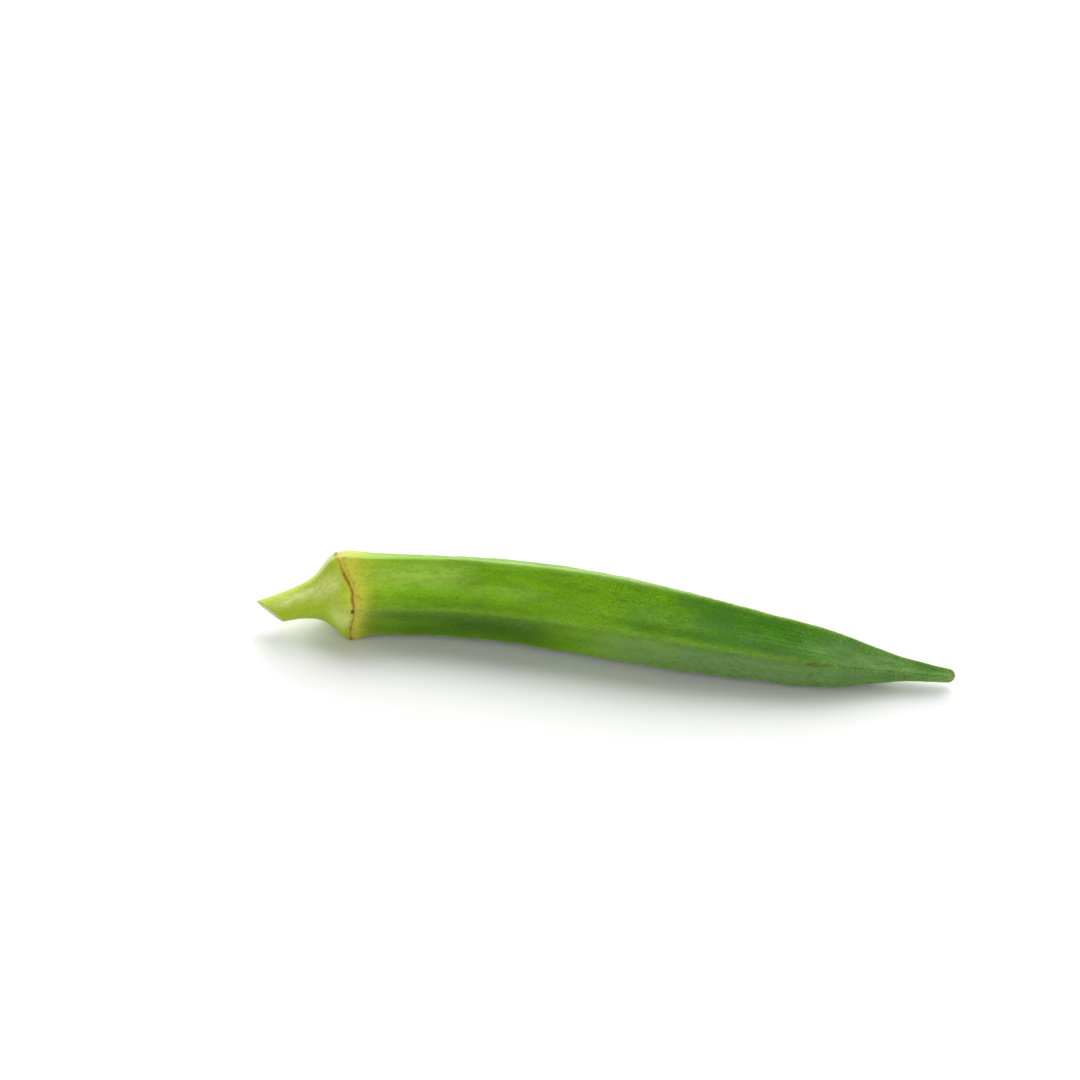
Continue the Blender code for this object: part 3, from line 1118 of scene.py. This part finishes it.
def build_fuzz(context):
    """Two lengths of hair: a dense short down, and fewer, longer bent hairs."""
    fuzz = context.scene.okra_fuzz
    hair_piece(context, "okra_down", fuzz.down_hairs, fuzz.down_length, fuzz.thickness, False, 20)
    hair_piece(context, "okra_fuzz", fuzz.long_hairs, fuzz.long_length, fuzz.thickness * 1.15, True, 21)


# ---------------------------------------------------------------- the stage


def aim(thing, target):
    """Turns a light or camera so that its -Z axis points from its place to the target."""
    direction = Vector(target) - Vector(thing.location)
    thing.rotation_euler = direction.to_track_quat("-Z", "Y").to_euler()


def around_aim(target, azimuth, elevation, distance):
    """Point at that distance from the target; azimuth 0 is on its -Y side and 90 on its +X side."""
    level = math.cos(elevation)
    back = (math.sin(azimuth) * level, -math.cos(azimuth) * level, math.sin(elevation))
    return [place + distance * step for place, step in zip(target, back)]


def soft_light(context, name, azimuth, elevation, distance, size, power):
    """Rectangular area light that looks at the pod."""
    data = bpy.data.lights.new(name, "AREA")
    data.shape = "RECTANGLE"
    data.size, data.size_y = size
    data.energy = power
    light = bpy.data.objects.new(name, data)
    light.location = around_aim(LIGHT_TARGET, azimuth, elevation, distance)
    aim(light, LIGHT_TARGET)
    context.scene.collection.objects.link(light)
    return light


def build_floor(context, stage):
    """Square floor of one face, its top at height 0."""
    half = 0.5 * stage.floor_size
    corners = [(-half, -half, 0.0), (half, -half, 0.0), (half, half, 0.0), (-half, half, 0.0)]
    mesh = bpy.data.meshes.new("studio_floor")
    mesh.from_pydata(corners, [], [(0, 1, 2, 3)])
    floor = show(context, "studio_floor", mesh, (floor_material(stage),))
    return floor


def build_stage(context):
    """Floor, soft lights, pale surroundings and the camera."""
    scene = context.scene
    stage = scene.okra_stage
    build_floor(context, stage)
    for kind, (distance, size) in LIGHTS.items():
        azimuth, elevation, power = (getattr(stage, f"{kind}_{part}") for part in LIGHT_PARTS)
        soft_light(context, f"{kind}_light", azimuth, elevation, distance, size, power)
    world = bpy.data.worlds.new("studio")
    world.use_nodes = True
    background = world.node_tree.nodes["Background"]
    background.inputs["Color"].default_value = (1.0, 1.0, 1.0, 1.0)
    direction = node(world.node_tree, "ShaderNodeTexCoord").outputs["Generated"]
    height = node(world.node_tree, "ShaderNodeSeparateXYZ", {0: direction}).outputs[2]
    strength = fitted(world.node_tree, height, *DIMMING, stage.surroundings, stage.overhead)
    world.node_tree.links.new(strength, background.inputs["Strength"])
    scene.world = world
    scene.view_settings.view_transform = "Standard"
    data = bpy.data.cameras.new("camera")
    data.lens = stage.lens
    data.clip_start = 0.01
    camera = bpy.data.objects.new("camera", data)
    target = tuple(stage.camera_target)
    camera.location = around_aim(
        target, stage.camera_azimuth, stage.camera_elevation, stage.camera_distance
    )
    aim(camera, target)
    scene.collection.objects.link(camera)
    scene.camera = camera
    return camera


# ---------------------------------------------------------------- settings


def length_setting(name, default, description):
    """Setting that is a length in metres."""
    return FloatProperty(
        name=name, default=default, min=0.0, precision=5, unit="LENGTH", description=description
    )


def angle_setting(name, degrees, description):
    """Setting that is an angle, given here in degrees."""
    return FloatProperty(
        name=name, default=math.radians(degrees), subtype="ANGLE", description=description
    )


def colour_setting(name, default, description):
    """Setting that is a colour."""
    return FloatVectorProperty(
        name=name, default=default, min=0.0, max=1.0, size=3, subtype="COLOR", description=description
    )


def count_setting(name, default, highest, description):
    """Setting that is a whole number."""
    return IntProperty(name=name, default=default, min=0, max=highest, description=description)


def power_setting(name, default, description):
    """Setting that is a light's power in watts."""
    return FloatProperty(name=name, default=default, min=0.0, unit="POWER", description=description)


def share_setting(name, default, description, highest=100.0):
    """Setting that is a plain number."""
    return FloatProperty(
        name=name, default=default, min=0.0, max=highest, subtype="FACTOR", description=description
    )


class OkraShape(bpy.types.PropertyGroup):
    """Form of the pod's section and of its fine relief."""

    ridge_sharpness: share_setting("Ridge sharpness", 22.0, "Higher makes the five ridges sharper")
    side_hollow: share_setting("Side hollow", 0.045, "How far each side sinks between two ridges", 0.3)
    rib: length_setting("Rib height", 0.00016, "Height of the thin rib along each ridge")
    fibre: length_setting("Fibre height", 0.000008, "Height of the lengthwise fibres")


class OkraLook(bpy.types.PropertyGroup):
    """Colours of the skin."""

    cap_colour: colour_setting("Cap", (0.40, 0.53, 0.015), "Stalk and cap")
    collar_colour: colour_setting("Collar", (0.57, 0.57, 0.06), "Pale band behind the scar")
    body_colour: colour_setting("Body", (0.150, 0.350, 0.001), "Pod near the cap")
    far_colour: colour_setting("Far body", (0.052, 0.190, 0.003), "Pod towards the beak")
    beak_colour: colour_setting("Beak", (0.125, 0.265, 0.045), "The thin end")
    scar_colour: colour_setting("Scar", (0.25, 0.160, 0.012), "Line left by the flower")
    fuzz_colour: colour_setting("Fuzz", (0.86, 0.94, 0.70), "Hairs on the ridges and the beak")
    fuzz_green: colour_setting("Green fuzz", (0.36, 0.64, 0.015), "Hairs on the sides")
    bump: length_setting("Bump", 0.00012, "Height of the finest unevenness")


class OkraFuzz(bpy.types.PropertyGroup):
    """The short hairs."""

    down_hairs: count_setting("Down", 44000, 48000, "How many short hairs are planted")
    down_length: length_setting("Down length", 0.00036, "Typical length of a short hair")
    long_hairs: count_setting("Long hairs", 18000, 19000, "How many long hairs are planted")
    long_length: length_setting("Long length", 0.00048, "Typical length of a long hair")
    thickness: length_setting("Thickness", 0.000042, "Width of a short hair at its root")


class OkraStage(bpy.types.PropertyGroup):
    """Floor, light and camera."""

    floor_size: length_setting("Floor size", 4.0, "Side of the square floor")
    floor_colour: colour_setting("Floor", (0.90, 0.90, 0.90), "Colour of the floor")
    key_azimuth: angle_setting("Key azimuth", 165.0, "Direction of the main light; 0 is the front")
    key_elevation: angle_setting("Key elevation", 62.0, "Height of the main light")
    key_power: power_setting("Key power", 9.6, "Strength of the main light")
    rim_azimuth: angle_setting("Rim azimuth", 188.0, "Direction of the light behind the pod")
    rim_elevation: angle_setting("Rim elevation", 24.0, "Height of the light behind the pod")
    rim_power: power_setting("Rim power", 5.2, "Strength of the light behind the pod")
    fill_azimuth: angle_setting("Fill azimuth", -40.0, "Direction of the second light")
    fill_elevation: angle_setting("Fill elevation", 35.0, "Height of the second light")
    fill_power: power_setting("Fill power", 1.5, "Strength of the second light")
    surroundings: share_setting("Surroundings", 0.75, "Brightness of the surroundings at the horizon")
    overhead: share_setting("Overhead", 0.12, "Brightness of the surroundings overhead")
    camera_azimuth: angle_setting("Camera azimuth", 10.0, "Direction of the camera; 0 is the front")
    camera_elevation: angle_setting("Camera elevation", 41.0, "Height of the camera")
    camera_distance: length_setting("Camera distance", 0.5455, "From the target")
    camera_target: FloatVectorProperty(
        name="Camera target",
        default=(-0.0143, 0.0, 0.0293),
        size=3,
        subtype="TRANSLATION",
        unit="LENGTH",
        description="Point in the middle of the picture",
    )
    lens: FloatProperty(
        name="Lens", default=85.0, min=10.0, unit="CAMERA", description="Focal length in millimetres"
    )


# ---------------------------------------------------------------- operators and panel


class MESH_OT_okra_skin(bpy.types.Operator):
    """Build the pod's skin, from the cut stalk to the beak"""

    bl_idname = "mesh.okra_skin"
    bl_label = "Okra skin"

    def execute(self, context):
        build_skin(context)
        return {"FINISHED"}


class MESH_OT_okra_fuzz(bpy.types.Operator):
    """Plant the short hairs on the pod"""

    bl_idname = "mesh.okra_fuzz"
    bl_label = "Okra fuzz"

    def execute(self, context):
        build_fuzz(context)
        return {"FINISHED"}


class MESH_OT_okra_stage(bpy.types.Operator):
    """Build the floor, the lights and the camera"""

    bl_idname = "mesh.okra_stage"
    bl_label = "Studio stage"

    def execute(self, context):
        build_stage(context)
        return {"FINISHED"}


OPERATORS = (MESH_OT_okra_skin, MESH_OT_okra_fuzz, MESH_OT_okra_stage)


class VIEW3D_PT_okra(bpy.types.Panel):
    """Sidebar panel with a button for each operator."""

    bl_idname = "VIEW3D_PT_okra"
    bl_label = "Okra pod"
    bl_space_type = "VIEW_3D"
    bl_region_type = "UI"
    bl_category = "Okra"

    def draw(self, context):
        for operator in OPERATORS:
            self.layout.operator(operator.bl_idname)


SETTINGS = {
    "okra_shape": OkraShape,
    "okra_look": OkraLook,
    "okra_fuzz": OkraFuzz,
    "okra_stage": OkraStage,
}


def register():
    """Registers the classes and puts the settings on the scene."""
    for kind in (*SETTINGS.values(), *OPERATORS, VIEW3D_PT_okra):
        bpy.utils.register_class(kind)
    for name, kind in SETTINGS.items():
        setattr(bpy.types.Scene, name, PointerProperty(type=kind))


def unregister():
    """Takes the settings and the classes away again."""
    for name in SETTINGS:
        delattr(bpy.types.Scene, name)
    for kind in reversed((*SETTINGS.values(), *OPERATORS, VIEW3D_PT_okra)):
        bpy.utils.unregister_class(kind)


def main():
    """Builds the pod and its stage."""
    register()
    bpy.ops.mesh.okra_skin()
    bpy.ops.mesh.okra_fuzz()
    bpy.ops.mesh.okra_stage()


if __name__ == "__main__":
    main()
